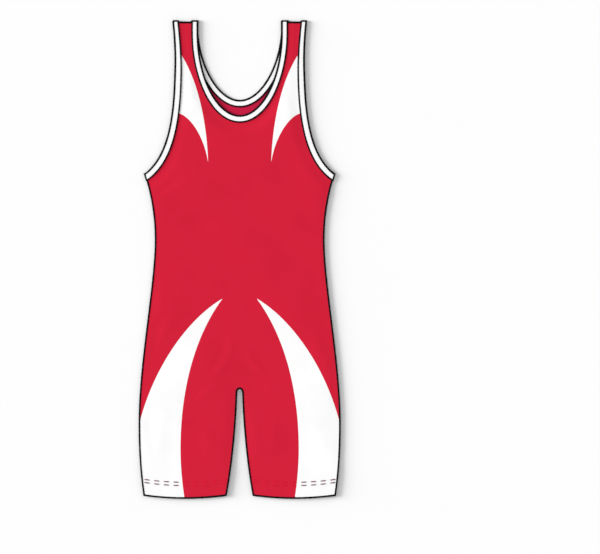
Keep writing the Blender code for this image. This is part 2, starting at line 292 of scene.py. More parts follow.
class SingletColours(bpy.types.PropertyGroup):
    """Colours of the singlet and its threads."""

    front: colour_setting("Front", "Right side of the red knit", (0.597, 0.0123, 0.037))
    inside: colour_setting("Inside", "Wrong side of the red knit", (0.53, 0.012, 0.052))
    white: colour_setting("White", "Inserts and bindings", (0.893, 0.893, 0.891))
    edge: colour_setting("Edge thread", "Overlocked edges and seams", (0.004, 0.004, 0.005))
    hem_light: colour_setting("Hem thread on white", "Stitches across the inserts", (0.19, 0.055, 0.1))
    # The thread on the red is painted lighter than the red cloth. This painted light offsets the shade
    # between its plies and on its sides.
    hem_red_painted_light: colour_setting("Hem thread on red", "Stitches across the red", (0.76, 0.006, 0.036))


class SingletStage(bpy.types.PropertyGroup):
    """Floor, light and camera."""

    floor: colour_setting("Floor", "Colour of the floor", (0.875, 0.875, 0.875))
    key: FloatProperty(name="Key", description="Strength of the key light", default=5.25)
    key_height: angle_setting("Key height", "Angle of the key over the floor", 16.5)
    key_side: angle_setting("Key side", "Where the key stands, counted from +X", 171)
    key_softness: angle_setting("Key softness", "Angle that the key fills", 32)
    fill: FloatProperty(name="Fill", description="Strength of the light from all round", default=0.66)
    view_width: length_setting("View width", "Width of floor that the camera takes in", 1.059)
    view_middle: FloatVectorProperty(
        name="View middle", description="Point of the floor under the camera", default=(0.1064, -0.0309),
        size=2, unit="LENGTH",
    )
    camera_height: length_setting("Camera height", "Height of the camera", 3.0)


# Cut lines and the heights of the cloth


def cut_line(name):
    """The points along a cut line, from its start to its end."""
    t = np.linspace(0, 1, CURVE_STEPS + 1)[:, None]
    weights = np.hstack(((1 - t) ** 3, 3 * t * (1 - t) ** 2, 3 * t**2 * (1 - t), t**3))
    stretches = [weights @ np.array(stretch, float) * MM for stretch in CUT_LINES[name]]
    return np.vstack([stretches[0]] + [stretch[1:] for stretch in stretches[1:]])


LINES = {name: cut_line(name) for name in CUT_LINES}


def across(name, y):
    """How far from the middle the cut line lies at height y."""
    line = LINES[name][::-1]
    return np.interp(y, line[:, 1], line[:, 0])


def smooth(low, high, value):
    """0 below low, 1 above high, and a soft S between."""
    t = np.clip((value - low) / (high - low), 0, 1)
    return t * t * (3 - 2 * t)


def distance_to(name, x, y):
    line = LINES[name]
    return np.hypot(np.abs(x)[..., None] - line[:, 0], y[..., None] - line[:, 1]).min(axis=-1)


def inner_edge(neck, y):
    """Where a panel starts, counted out from the middle: the neck, the middle itself, or the inseam."""
    bottom = LINES[neck][-1, 1]
    return np.where(y > bottom, across(neck, y), np.where(y >= CROTCH, 0, across("inseam", y)))


def outer_edge(y):
    return np.where(y > UNDERARM, across("armhole", y), across("side", y))


def insert_start(y):
    """An insert's edge nearest the middle. Where there is no insert, both its edges are one line."""
    strap = (inner_edge("front_neck", y) + outer_edge(y)) / 2
    chest = np.minimum(across("chest_inner", y), outer_edge(y))
    share = (CHEST_TIP - y) / (CHEST_TIP - THIGH_TIP)
    chest_tip, thigh_tip = LINES["chest_inner"][-1, 0], LINES["thigh_inner"][0, 0]
    belly = chest_tip * (1 - share) + thigh_tip * share
    places = [y > INSERT_TOP, y >= CHEST_TIP, y > THIGH_TIP]
    return np.select(places, [strap, chest, belly], across("thigh_inner", y))


def insert_end(y):
    """An insert's edge nearest the armhole or the side seam."""
    thigh = np.minimum(across("thigh_outer", y), outer_edge(y))
    places = [y > INSERT_TOP, y >= INSERT_SIDE, y >= CHEST_TIP, y > THIGH_TIP, y > THIGH_SIDE]
    values = [insert_start(y), outer_edge(y), across("chest_lower", y), insert_start(y), thigh]
    return np.select(places, values, outer_edge(y))


def strip_base(y):
    """The underside of the front neck's edge: over the back binding at the straps, on the back below."""
    low = LAYER + LAYER_GAP
    return low + (FRONT_STRIP_BASE - low) * smooth(*NECK_CLIMB, y)


def crease_relief(x, y):
    """Height of all the creases: each a ridge along a bowed line, with a shallow valley on one side."""
    fan, valley, valley_place, fade = 0.35, 0.45, 1.7, 2.2
    relief = np.zeros_like(x)
    for crease in CREASES:
        turn = math.radians(crease.turn)
        dx, dy = x - crease.x * MM, y - crease.y * MM
        along = (dx * math.cos(turn) + dy * math.sin(turn)) / (crease.length * MM / 2)
        aside = -dx * math.sin(turn) + dy * math.cos(turn) - crease.bow * MM * (1 - along**2)
        spread = crease.spread * MM * (1 + fan * along)
        ridge = np.exp(-((aside / spread) ** 2))
        ridge -= valley * np.exp(-((aside / spread - valley_place) ** 2))
        relief += crease.height * MM * ridge * np.exp(-fade * along**2)
    return relief


def broad_relief(x, y):
    """Wide, low unevenness, as in cloth that was smoothed out by hand."""
    return WAVE_HEIGHT * sum(wave.share * np.sin(wave.x * x + wave.y * y + wave.start) for wave in WAVES)


def seam_relief(x, y, sizes):
    """The pull of the insert seams, which sets both cloths' edges a little lower."""
    lines = ("chest_inner", "chest_lower", "thigh_inner", "thigh_outer")
    nearest = np.min([distance_to(line, x, y) for line in lines], axis=0)
    pucker_x, pucker_y, reach = 3.3 * MM, 2.1 * MM, 2.6 * MM
    pucker = 1 + 0.3 * np.sin(y / pucker_y) * np.sin(x / pucker_x + 1)
    return -sizes.seam_dip * pucker * np.exp(-((nearest / reach) ** 2))


def front_top(x, y, sizes):
    """Height of the front's outer surface."""
    out = np.abs(x)
    side, arm = distance_to("side", x, y), distance_to("armhole", x, y)
    neck = distance_to("front_neck", x, y)
    to_side = np.where(y <= UNDERARM, np.maximum(outer_edge(y) - out, 0), side)
    to_side = np.minimum(to_side, distance_to("inseam", x, y))
    roll = EDGE_ROLL * (1 - (1 - CHEST_ROLL) * smooth(*ROLL_FADE, y))
    height = SIDE_SEAM_TOP + roll + sizes.loft * (1 - np.exp(-to_side / LOFT_REACH))
    upper = y > 0
    near_arm = np.where(upper, 1 - smooth(*BINDING_REACH, arm), 0)
    near_neck = np.where(upper, 1 - smooth(*BINDING_REACH, neck), 0)
    height += (FRONT_STRIP_BASE + LAYER - height) * near_arm
    height += (strip_base(y) + LAYER - height) * near_neck * (1 - near_arm)
    hem_flat, hem_faded = sizes.hem_depth + 3 * MM, 2.5 * sizes.hem_depth
    near_hem = 1 - smooth(hem_flat, hem_faded, y - HEM)
    height += (HEM_TOP - height) * near_hem
    to_edge = np.minimum(to_side, np.where(upper, np.minimum(arm, neck), FAR))
    relief = sizes.crease * crease_relief(x, y) + broad_relief(x, y)
    height += relief * smooth(*CREASE_REACH, to_edge) * (1 - HEM_CALM * near_hem)
    return height + seam_relief(x, y, sizes) * (1 - HEM_SEAM_CALM * near_hem)


def hem_drop(x, y, sizes):
    """How far the hem's downward bow lowers a point of the leg, up to three hem depths from the fold."""
    near_hem = 1 - smooth(0, 3 * sizes.hem_depth, y - HEM)
    inner, outer = across("inseam", y), across("side", y)
    share = np.clip((np.abs(x) - inner) / (outer - inner), 0, 1)
    return HEM_BOW * 4 * share * (1 - share) * near_hem


# Cloth pieces


def even_line(line, spacing):
    """Points along a line at even spacing, with both ends."""
    steps = np.hypot(*np.diff(line, axis=0).T[:2])
    reached = np.concatenate(([0], np.cumsum(steps)))
    goals = np.linspace(0, reached[-1], max(round(reached[-1] / spacing), 1) + 1)
    return np.stack([np.interp(goals, reached, column) for column in line.T], axis=1)


def panel_rows(neck, sizes):
    """The rows of a panel, from the shoulder fold down to the raw edge of the turned-up hem."""
    spacing = sizes.grid
    over_chest_tip = CHEST_TIP + (CLOSE_ROWS - 1) * MM
    corners = [INSERT_TOP, INSERT_SIDE, over_chest_tip, THIGH_TIP, CROTCH, THIGH_SIDE]
    close = [corner - step * MM for corner in corners for step in range(CLOSE_ROWS)]
    neck_heights = even_line(LINES[neck], spacing)[:, 1]
    neck_bottom = LINES[neck][-1, 1]
    stops = (neck_bottom, CHEST_TIP, UNDERARM, THIGH_TIP, CROTCH, CROTCH_ROUND, THIGH_SIDE, HEM)
    even = [
        np.linspace(top, low, round((top - low) / spacing) + 1) for top, low in zip(stops, stops[1:])
    ]
    fixed = np.array([*close, *stops, STRAP_TOP])
    free = np.concatenate([neck_heights, *even])
    lonely = np.abs(free[:, None] - fixed).min(axis=1) > ROW_CLEARANCE
    heights = np.unique(np.round(np.concatenate((free[lonely], fixed)), 7))[::-1]
    shoulder = [Row(STRAP_TOP, "shoulder", math.radians(turn)) for turn in SHOULDER_ANGLES]
    hem = [Row(HEM, "hem", math.radians(turn)) for turn in HEM_ANGLES]
    depths = [sizes.hem_depth * i / (TURNED_ROWS - 1) for i in range(TURNED_ROWS)]
    turned = [Row(HEM + depth, "turned", math.pi) for depth in depths]
    return shoulder + [Row(y, "flat", 0) for y in heights] + hem + turned


def placed(layer, x, rows, sizes):
    """Points and cloth coordinates of a panel's outer surface, for a grid of x with a row per Row."""
    facing = 1 if layer == "front" else -1
    y = np.repeat([[row.y] for row in rows], x.shape[1], axis=1)
    angle = np.array([[row.angle] for row in rows])
    kind = np.array([[row.kind] for row in rows])
    top = front_top(x, y, sizes) if layer == "front" else np.zeros_like(x)
    shoulder, hem, turned = kind == "shoulder", kind == "hem", kind == "turned"
    radius = np.where(shoulder, SHOULDER_RADIUS, HEM_RADIUS)
    folded = hem | turned
    edge_top = HEM_TOP if layer == "front" else 0.0
    height = np.where(turned, edge_top, top) - facing * radius * (1 - np.cos(angle)) * (shoulder | folded)
    shift = np.select(
        [shoulder, hem, turned, (y <= HEM)],
        [radius * np.sin(angle), radius * (1 - np.sin(angle)), radius, radius],
        0.0,
    )
    points = np.stack((x, y - hem_drop(x, y, sizes) + shift, height), axis=-1)
    v = np.select(
        [shoulder, hem, turned],
        [y + radius * angle, y - radius * angle, 2 * HEM - y - radius * math.pi],
        y,
    )
    return points, np.stack((x, v), axis=-1)


def columns(start, end, count):
    """Shares across a strip of cloth, closer together at both edges, as a grid of x."""
    crowding = 0.6
    t = np.linspace(0, 1, count + 1)
    share = t - crowding * np.sin(2 * math.pi * t) / (2 * math.pi)
    return start[:, None] + (end - start)[:, None] * share


def linked(name, data, materials):
    """A smooth-shaded object of a mesh, linked into the scene."""
    for material in materials:
        data.materials.append(material)
    made = bpy.data.objects.new(name, data)
    bpy.context.scene.collection.objects.link(made)
    data.shade_smooth()
    return made


def new_object(name, points, faces, uv, materials):
    """A mesh object with the piece's own cloth coordinates, its doubles merged."""
    data = bpy.data.meshes.new(name)
    data.from_pydata(points.tolist(), [], faces.tolist())
    loops = np.array(uv)[faces.ravel()].astype(np.float32)
    data.uv_layers.new(name="cloth").data.foreach_set("uv", loops.ravel())
    mesh = bmesh.new()
    mesh.from_mesh(data)
    bmesh.ops.remove_doubles(mesh, verts=mesh.verts, dist=DOUBLES_DISTANCE)
    bmesh.ops.dissolve_degenerate(mesh, edges=mesh.edges, dist=SLIVER_DISTANCE)
    loose = [edge for edge in mesh.edges if not edge.link_faces]
    bmesh.ops.delete(mesh, geom=loose, context="EDGES")
    mesh.to_mesh(data)
    mesh.free()
    return linked(name, data, materials)


def only_selected(made):
    bpy.ops.object.select_all(action="DESELECT")
    made.select_set(True)
    bpy.context.view_layer.objects.active = made


def thicken(made, thickness):
    """Turns an outer surface into a wall, whose inner side takes the next material."""
    only_selected(made)
    wall = made.modifiers.new("wall", "SOLIDIFY")
    wall.thickness = thickness
    wall.offset = -1
    wall.material_offset = 1
    bpy.ops.object.modifier_apply(modifier=wall.name)
    bpy.ops.object.shade_smooth_by_angle(angle=SHARP_ANGLE)


def grid_faces(rows, cols, first=0):
    i = np.arange(rows - 1)[:, None] * cols + np.arange(cols - 1) + first
    return np.stack((i, i + cols, i + cols + 1, i + 1), axis=-1).reshape(-1, 4)


def flat_cut(uv, faces):
    """Width, length and area of the cloth before it was sewn, from its cloth coordinates."""
    corners = np.array(uv)[faces]
    x, y = corners[..., 0], corners[..., 1]
    area = np.abs((x * np.roll(y, -1, axis=1) - np.roll(x, -1, axis=1) * y).sum(axis=1)).sum() / 2
    width, length = np.ptp(np.array(uv), axis=0)
    return (float(width), float(length)), float(area)


def cloth_piece(name, layer, grids, rows, materials, sizes):
    """One cloth wall from grids of x on the same rows. Grids may lie on either side of the middle."""
    points, uvs, faces, first = [], [], [], 0
    for x in grids:
        at, uv = placed(layer, x, rows, sizes)
        quads = grid_faces(*x.shape, first)
        down = (x.sum() < 0) != (layer == "back")
        faces.append(quads[:, ::-1] if down else quads)
        points.append(at.reshape(-1, 3))
        uvs.append(uv.reshape(-1, 2))
        first += x.size
    points, uvs, faces = np.vstack(points), np.vstack(uvs), np.vstack(faces)
    made = new_object(name, points, faces, uvs, materials)
    thicken(made, sizes.cloth_thickness)
    return made, flat_cut(uvs, faces)


def declare(made, node):
    """Attaches a cloth piece to what it rides on and hides the part that it stands for."""
    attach(made, BODY)
    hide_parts(node)


# Strips and threads along an edge


def unit(vectors):
    return vectors / np.linalg.norm(vectors, axis=1)[:, None]


def upright(points, out_left=True):
    """Frames along a line that lies flat: out is square to the line, to its left or its right."""
    way = np.gradient(points, axis=0)
    way[:, 2] = 0
    way = unit(way)
    turned = np.stack((-way[:, 1], way[:, 0], np.zeros(len(way))), axis=1)
    out = turned if out_left else -turned
    return Frames(points, out, np.tile((0.0, 0.0, 1.0), (len(points), 1)))


def mirrored(frames):
    flip = np.array((-1, 1, 1))
    return Frames(frames.at * flip, frames.out * flip, frames.up * flip)


def backwards(frames):
    return Frames(*(part[::-1] for part in frames))


def in_line(*runs):
    return Frames(*(np.vstack(parts) for parts in zip(*runs)))


def moved(frames, out, rise=0.0):
    """The same frames shifted sideways, and raised off the floor."""
    return Frames(frames.at + frames.out * out + (0, 0, rise), frames.out, frames.up)


def even_frames(frames, pitch):
    """The same frames at even spacing."""
    steps = np.linalg.norm(np.diff(frames.at, axis=0), axis=1)
    reached = np.concatenate(([0], np.cumsum(steps)))
    goals = np.linspace(0, reached[-1], max(round(reached[-1] / pitch), 1) + 1)
    parts = [[np.interp(goals, reached, column) for column in part.T] for part in frames]
    return Frames(*(np.stack(part, axis=1) for part in parts))


def strip_run(line, layer, spacing):
    """Frames along a bound edge of the wearer's left half, from the shoulder down, at mid thickness."""
    flat = even_line(LINES[line], spacing)
    flat[0, 1] = STRIP_TOP_HEIGHT
    points = np.column_stack((flat, np.zeros(len(flat))))
    frames = upright(points, out_left=line == "armhole")
    if layer == "back":
        points[:, 2] = BACK_STRIP_MID
    elif line == "armhole":
        points[:, 2] = FRONT_STRIP_BASE + STRIP_THICKNESS / 2
    else:
        points[:, 2] = strip_base(points[:, 1]) + STRIP_THICKNESS / 2
    out = frames.out.copy()
    if line == "armhole":
        share = 1 - smooth(0, CUT_REACH, np.hypot(*(flat - flat[-1]).T))[:, None]
        narrowing = 1 - STRAP_NARROWING * smooth(NARROWING_START, STRAP_TOP, points[:, 1])[:, None]
        out = (out * (1 - share) + UNDERARM_CUT * share) * narrowing
    else:
        out[-1] = (0, 1, 0)
    return Frames(points, out, frames.up)


def turn_over(front, back, way):
    """Frames of the fold from the last front frame to the back layer, turning towards way."""
    angles = np.radians(STRIP_ANGLES)[:, None]
    middle = (front.at[-1] + back.at[0]) / 2
    radius = (front.at[-1, 2] - back.at[0, 2]) / 2
    up = np.array((0, 0, 1)) * np.cos(angles) + way * np.sin(angles)
    out = np.repeat(front.out[-1:], len(angles), axis=0)
    return Frames(middle + up * radius, out, up)


def back_side(frames):
    """The same run seen from the back layer's face."""
    return Frames(frames.at, frames.out, -frames.up)


def square_to(way):
    """The level direction to the right of a level direction."""
    return np.array((way[1], -way[0], 0)) / np.linalg.norm(way)


def armhole_loop(spacing):
    """Frames round the left armhole: down the front, under the arm, up the back, over the shoulder."""
    front = strip_run("armhole", "front", spacing)
    back = backwards(strip_run("armhole", "back", spacing))
    under = turn_over(front, back, square_to(front.out[-1]))
    over = backwards(turn_over(backwards(front), backwards(back), np.array((0, 1, 0))))
    return in_line(front, under, back_side(back), over)


def without_first(frames):
    return Frames(*(part[1:] for part in frames))


def neck_loop(spacing):
    """Frames round the whole neck: along the front from left to right, and back along the back."""
    half_front = strip_run("front_neck", "front", spacing)
    half_back = strip_run("back_neck", "back", spacing)
    front = in_line(half_front, without_first(backwards(mirrored(half_front))))
    back = in_line(mirrored(half_back), without_first(backwards(half_back)))
    over_right = turn_over(front, back, np.array((0, 1, 0)))
    over_left = backwards(turn_over(backwards(front), backwards(back), np.array((0, 1, 0))))
    return in_line(front, over_right, back_side(back), over_left)


def strip_section(sizes):
    """The folded strip's outer side, from one edge round the fold to the other, as out and up."""
    half, edge, fold = sizes.strip_thickness / 2, sizes.seam_gap, sizes.seam_gap + sizes.strip_width
    crown = half + 0.12 * MM
    top = [(edge, half), (fold * 0.2, crown), (fold * 0.5, crown), (fold - 1.6 * half, half)]
    turns = np.radians((65, 40, 15))
    rounded = [(fold - half * (1 - math.cos(turn)), half * math.sin(turn)) for turn in turns]
    side = top + rounded
    return np.array(side + [(out, -up) for out, up in side[::-1]])


def folded_strip(name, frames, materials, sizes):
    """A strip of cloth folded over an edge, along a closed loop of frames, a little uneven as sewn."""
    section = strip_section(sizes)
    count, width = len(frames.at), len(section)
    steps = np.linalg.norm(np.roll(frames.at, -1, axis=0) - frames.at, axis=1)
    reached = np.concatenate(([0], np.cumsum(steps)))
    turns = 2 * math.pi * reached[:-1] / reached[-1]
    wave_lengths = (31 * MM, 13 * MM, 7.4 * MM)
    periods = [round(reached[-1] / wave_length) for wave_length in wave_lengths]
    uneven = sum(np.sin(turns * period + period) for period in periods) / len(periods)
    wander, swell = 0.12 * MM, 0.07
    out = section[:, 0] + wander * uneven[:, None]
    up = section[:, 1] * (1 + swell * np.roll(uneven, 3)[:, None])
    points = (
        frames.at[:, None] + frames.out[:, None] * out[..., None] + frames.up[:, None] * up[..., None]
    )
    bends = np.linalg.norm(np.diff(section, axis=0), axis=1)
    across_strip = np.concatenate(([0], np.cumsum(bends)))
    uv = np.stack(np.meshgrid(across_strip, reached), axis=-1).reshape(-1, 2)
    points = np.vstack((points.reshape(-1, 3), points[0]))
    faces = grid_faces(count + 1, width)
    way = np.cross(frames.at[1] - frames.at[0], frames.out[0])
    if way @ frames.up[0] < 0:
        faces = faces[:, ::-1]
    made = new_object(name, points, faces, uv, materials)
    thicken(made, sizes.strip_wall)
    return made, ((float(across_strip[-1]), float(reached[-1])), None)


def one_wrap():
    """One wrap of edge thread: a ring with squared-off corners, 2 across and 2 long."""
    tube = 0.2
    bpy.ops.object.select_all(action="DESELECT")
    bpy.ops.mesh.primitive_torus_add(
        major_segments=12, minor_segments=4, major_radius=1 - tube, minor_radius=tube
    )
    ring = bpy.context.object
    points = np.array([vertex.co for vertex in ring.data.vertices])
    faces = np.array([tuple(face.vertices) for face in ring.data.polygons])
    bpy.data.objects.remove(ring)
    radius = np.hypot(points[:, 0], points[:, 1])[:, None]
    way = points[:, :2] / radius
    points[:, :2] = radius * np.sign(way) * np.abs(way) ** 0.5
    return points * (1, 1, 1 / tube), faces


def wraps_along(run, sizes, seed):
    """Wraps of thread side by side along an edge: points and faces."""
    unevenness, half_length, slant = 0.05, 0.56, 0.7
    ring, faces = one_wrap()
    frames = even_frames(run.frames, sizes.thread_pitch)
    frames = Frames(frames.at, unit(frames.out), unit(frames.up))
    along = np.cross(frames.out, frames.up)
    count = len(frames.at)
    rng = np.random.default_rng(seed)
    scale = 1 + unevenness * rng.standard_normal(count)[:, None, None].clip(-2, 2)
    high = run.half_height if run.half_height else frames.at[:, 2]
    high = np.broadcast_to(high, count)[:, None, None]
    x, y, z = (ring[None, :, i, None] for i in range(3))
    points = (
        frames.at[:, None]
        + frames.out[:, None] * x * run.width / 2 * scale
        + frames.up[:, None] * y * high
        + along[:, None] * (z * half_length + x * slant) * sizes.thread_pitch
    )
    height = points[..., 2]
    points[..., 2] = np.where(height < PRESSED_SHARE * high[..., 0], PRESSED_HEIGHT, height)
    shift = np.arange(count)[:, None, None] * len(ring)
    return points.reshape(-1, 3), (faces[None] + shift).reshape(-1, 4)


def thread_piece(name, runs, material, sizes):
    """One object from several runs of wraps."""
    points, faces, first = [], [], 0
    for seed, run in enumerate(runs):
        at, quads = wraps_along(run, sizes, seed)
        points.append(at)
        faces.append(quads + first)
        first += len(at)
    points, faces = np.vstack(points), np.vstack(faces)
    made = new_object(name, points, faces, points[:, :2], [material])
    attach(made, BODY)


def standing_run(line, out_left, sizes):
    """Frames along the closed edge of front and back, at half the height of both layers together."""
    flat = even_line(LINES[line], SEAM_SPACING)
    points = np.column_stack((flat, np.zeros(len(flat))))
    frames = upright(points, out_left)
    points[:, 2] = front_top(points[:, 0], points[:, 1], sizes) / 2 + THREAD_RISE
    points[:, 1] -= hem_drop(points[:, 0], points[:, 1], sizes)
    return moved(Frames(points, frames.out, frames.up), out=-SEAM_INSET)


def hem_run(height, sizes, count=60):
    """Frames along the fold of one leg's hem at a height, from the inseam to the side."""
    inner, outer = across("inseam", HEM), across("side", HEM)
    x = np.linspace(inner, outer, count)
    y = HEM - hem_drop(x, np.full_like(x, HEM), sizes)
    points = np.column_stack((x, y, np.full_like(x, height)))
    return moved(upright(points, out_left=False), out=-HEM_INSET)


def straight_run(start, end, out, count=8):
    points = np.linspace(start, end, count)
    return Frames(points, np.tile(out, (count, 1)), np.tile((0.0, 0.0, 1.0), (count, 1)))


def shoulder_runs(sizes):
    """Runs across the top of one strap: both binding ends, which stand taller, and the strap itself."""
    strip_y = STRIP_TOP_HEIGHT + STRIP_TURN + sizes.strip_thickness / 2 - STRIP_INSET
    strap_y = STRAP_TOP + SHOULDER_RADIUS - STRAP_INSET
    neck, arm = across("front_neck", STRAP_TOP), across("armhole", STRAP_TOP)
    width, strip_end = sizes.strip_width, arm + sizes.strip_width * (1 - STRAP_NARROWING)
    spans = ((neck - width, neck, strip_y), (neck, arm, strap_y), (arm, strip_end, strip_y))
    runs = []
    for start, end, y in spans:
        middle = STRIP_END_MIDDLE if y == strip_y else STRAP_MIDDLE
        frames = straight_run((start, y, middle), (end, y, middle), np.array((0.0, 1.0, 0.0)))
        runs.append(Run(frames, middle, sizes.thread_width))
    return runs


def underarm_run(sizes):
    """The run across the armhole strip's end under the arm, a little outside it."""
    way = square_to(UNDERARM_CUT)
    edge = np.append(LINES["armhole"][-1], 0) + way * UNDERARM_OUTSET
    edge[2] = STRIP_END_MIDDLE
    frames = straight_run(edge, edge + UNDERARM_CUT * sizes.strip_width, way)
    return Run(frames, STRIP_END_MIDDLE, sizes.thread_width)


def plied_stitch(stitch_length, radius):
    """A short stitch of two plies twisted together along X, whose ends dip into the cloth."""
    rings, sides, twists = 17, 6, 2.5
    lay, ply_radius, dip = 0.5 * radius, 0.62 * radius, 1.6 * radius
    share = np.linspace(0, 1, rings)
    around = np.linspace(0, 2 * math.pi, sides, endpoint=False)
    points, faces = [], []
    for ply in range(2):
        turn = 2 * math.pi * twists * share + ply * math.pi
        x = (share - 0.5) * stitch_length
        arch = -dip * np.abs(2 * share - 1) ** 5
        y = lay * np.cos(turn)[:, None] + ply_radius * np.cos(around)
        z = lay * np.sin(turn)[:, None] + ply_radius * np.sin(around) + arch[:, None]
        ring = np.stack((np.repeat(x[:, None], sides, axis=1), y, z), axis=-1).reshape(-1, 3)
        points.append(ring)
        starts = [(ply * rings + i) * sides for i in range(rings)]
        for start in starts[:-1]:
            for i in range(sides):
                here, beside = start + i, start + (i + 1) % sides
                faces.append([here, beside, beside + sides, here + sides])
        faces.append([starts[0] + i for i in reversed(range(sides))])
        faces.append([starts[-1] + i for i in range(sides)])
    return np.vstack(points), faces


def stitch_rows(name, middles, material, radius, sizes):
    """Two rows of stitches across both legs, centred at these distances out from the middle, in mm."""
    stitch, faces = plied_stitch(sizes.stitch_length, radius)
    points, all_faces = [], []
    edge = HEM + sizes.hem_depth
    for row in (edge - under for under in STITCH_ROWS):
        for side, shift in STITCH_SHIFTS:
            for middle in middles:
                x = side * middle * MM + shift + stitch[:, 0]
                y = np.full_like(x, row)
                height = front_top(x, y, sizes)
                y = row - STITCH_BOW * hem_drop(x, y, sizes) + stitch[:, 1]
                first = len(points) * len(stitch)
                points.append(np.column_stack((x, y, height + STITCH_RISE + stitch[:, 2])))
                all_faces += [[corner + first for corner in face] for face in faces]
    data = bpy.data.meshes.new(name)
    data.from_pydata(np.vstack(points).tolist(), [], all_faces)
    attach(linked(name, data, [material]), BODY)


# Finishes


class Value:
    """A number that changes over a surface: operators on it add Math nodes."""

    def __init__(self, tree, socket):
        self.tree, self.socket = tree, socket

    def math(self, operation, *others):
        made = self.tree.nodes.new("ShaderNodeMath")
        made.operation = operation
        for socket, value in zip(made.inputs, (self, *others)):
            plug(self.tree, socket, value)
        return Value(self.tree, made.outputs[0])

    def __add__(self, other):
        return self.math("ADD", other)

    def __sub__(self, other):
        return self.math("SUBTRACT", other)

    def __rsub__(self, other):
        return self * -1 + other

    def __mul__(self, other):
        return self.math("MULTIPLY", other)

    def __truediv__(self, other):
        return self.math("DIVIDE", other)

    def __pow__(self, other):
        return self.math("POWER", other)

    __radd__ = __add__
    __rmul__ = __mul__


def plug(tree, socket, value):
    """Links or sets one input."""
    if isinstance(value, Value):
        tree.links.new(value.socket, socket)
    elif isinstance(value, bpy.types.NodeSocket):
        tree.links.new(value, socket)
    else:
        socket.default_value = value


class Finish:
    """A material whose Principled shader is varied by nodes."""

    def __init__(self, name, **constants):
        self.material = bpy.data.materials.new(name)
        self.material.use_nodes = True
        self.tree = self.material.node_tree
        self.shader = self.tree.nodes["Principled BSDF"]
        for words, value in constants.items():
            self.shader.inputs[words.replace("_", " ")].default_value = value

    def node(self, kind, settings=None, inputs=None):
        made = self.tree.nodes.new(kind)
        for name, value in (settings or {}).items():
            setattr(made, name, value)
        for key, value in (inputs or {}).items():
            plug(self.tree, made.inputs[key], value)
        return made

    def value(self, socket):
        return Value(self.tree, socket)

    def vary(self, **values):
        for words, value in values.items():
            plug(self.tree, self.shader.inputs[words.replace("_", " ")], value)

    def noise(self, scale, detail=2.0):
        where = self.node("ShaderNodeTexCoord").outputs["Object"]
        made = self.node("ShaderNodeTexNoise", None, {"Vector": where, "Scale": scale, "Detail": detail})
        return self.value(made.outputs["Fac"])

    def mix(self, factor, first, second):
        """A colour between two, by a factor."""
        made = self.node("ShaderNodeMix", {"data_type": "RGBA"}, {0: factor, 6: first, 7: second})
        return made.outputs[2]

    def bump(self, height, strength, distance):
        inputs = {"Height": height, "Strength": strength, "Distance": distance}
        return self.node("ShaderNodeBump", None, inputs).outputs["Normal"]


def opaque(colour, share=1.0):
    return (*(channel * share for channel in colour), 1)


def knit(name, base, sheen):
    """Fine jersey: wales of slanted stitch legs, a little darker in the grooves as painted shade, and
    slightly uneven in tone.
    """
    finish = Finish(
        name,
        Roughness=0.75,
        Specular_IOR_Level=0.05,
        Sheen_Weight=sheen,
        Sheen_Roughness=0.45,
        Sheen_Tint=opaque([min(1, 0.3 + channel) for channel in base]),
    )
    uv = finish.node("ShaderNodeUVMap", {"uv_map": "cloth"}).outputs["UV"]
    parts = finish.node("ShaderNodeSeparateXYZ", None, {"Vector": uv})
    wale_width, course_height = 0.7 * MM, 0.56 * MM
    wale = finish.value(parts.outputs["X"]) / wale_width
    course = finish.value(parts.outputs["Y"]) / course_height
    leg = wale.math("PINGPONG", 0.5)
    rib = 1 - ((leg - 0.25) * 4) ** 2
    loop = ((course + leg * 0.9) * (2 * math.pi)).math("SINE") * 0.5 + 0.5
    relief = rib * (loop * 0.45 + 0.55)
    cloud = finish.noise(22.0, 3.0)
    # Painted shade: where the relief is low, the grooves are darkened in the colour. The noise adds
    # random tone on top.
    painted_groove_shade_and_mottle = (1 - relief) * 0.3 + (cloud - 0.5) * 0.5
    finish.vary(
        Base_Color=finish.mix(painted_groove_shade_and_mottle, opaque(base), opaque(base, 0.84)),
        Roughness=(1 - relief) * 0.12 + cloud * 0.1 + 0.68,
        Normal=finish.bump(relief, 0.3, 0.07 * MM),
    )
    return finish.material


def thread(name, base, roughness):
    """Bulked thread: fine fibres that break up its surface."""
    finish = Finish(name, Roughness=roughness, Specular_IOR_Level=0.05)
    fibre = finish.noise(2600.0, 2.0)
    finish.vary(
        Base_Color=finish.mix(fibre, opaque(base, 0.7), opaque(base, 1.3)),
        Roughness=fibre * 0.25 + (roughness - 0.12),
        Normal=finish.bump(fibre, 0.4, 0.15 * MM),
    )
    return finish.material


def paper(name, base):
    """Smooth studio paper, very slightly mottled."""
    finish = Finish(name, Roughness=0.8, Specular_IOR_Level=0.1)
    cloud = finish.noise(6.0, 2.0)
    finish.vary(
        Base_Color=finish.mix(cloud, opaque(base), opaque(base, 0.992)), Roughness=cloud * 0.1 + 0.75
    )
    return finish.material


def cloths(scene):
    """The three knit finishes, made once: right side of the red, its wrong side, and the white."""
    colours = scene.singlet_colours
    wanted = {
        "red_right_side": (colours.front, 0.03),
        "red_wrong_side": (colours.inside, 0.02),
        "white_both_sides": (colours.white, 0.03),
    }
    return [
        bpy.data.materials.get(name) or knit(name, tuple(base), sheen)
        for name, (base, sheen) in wanted.items()
    ]


def edge_thread(scene):
    return bpy.data.materials.get("edge_thread") or thread(
        "edge_thread", tuple(scene.singlet_colours.edge), 0.6
    )


# Operators


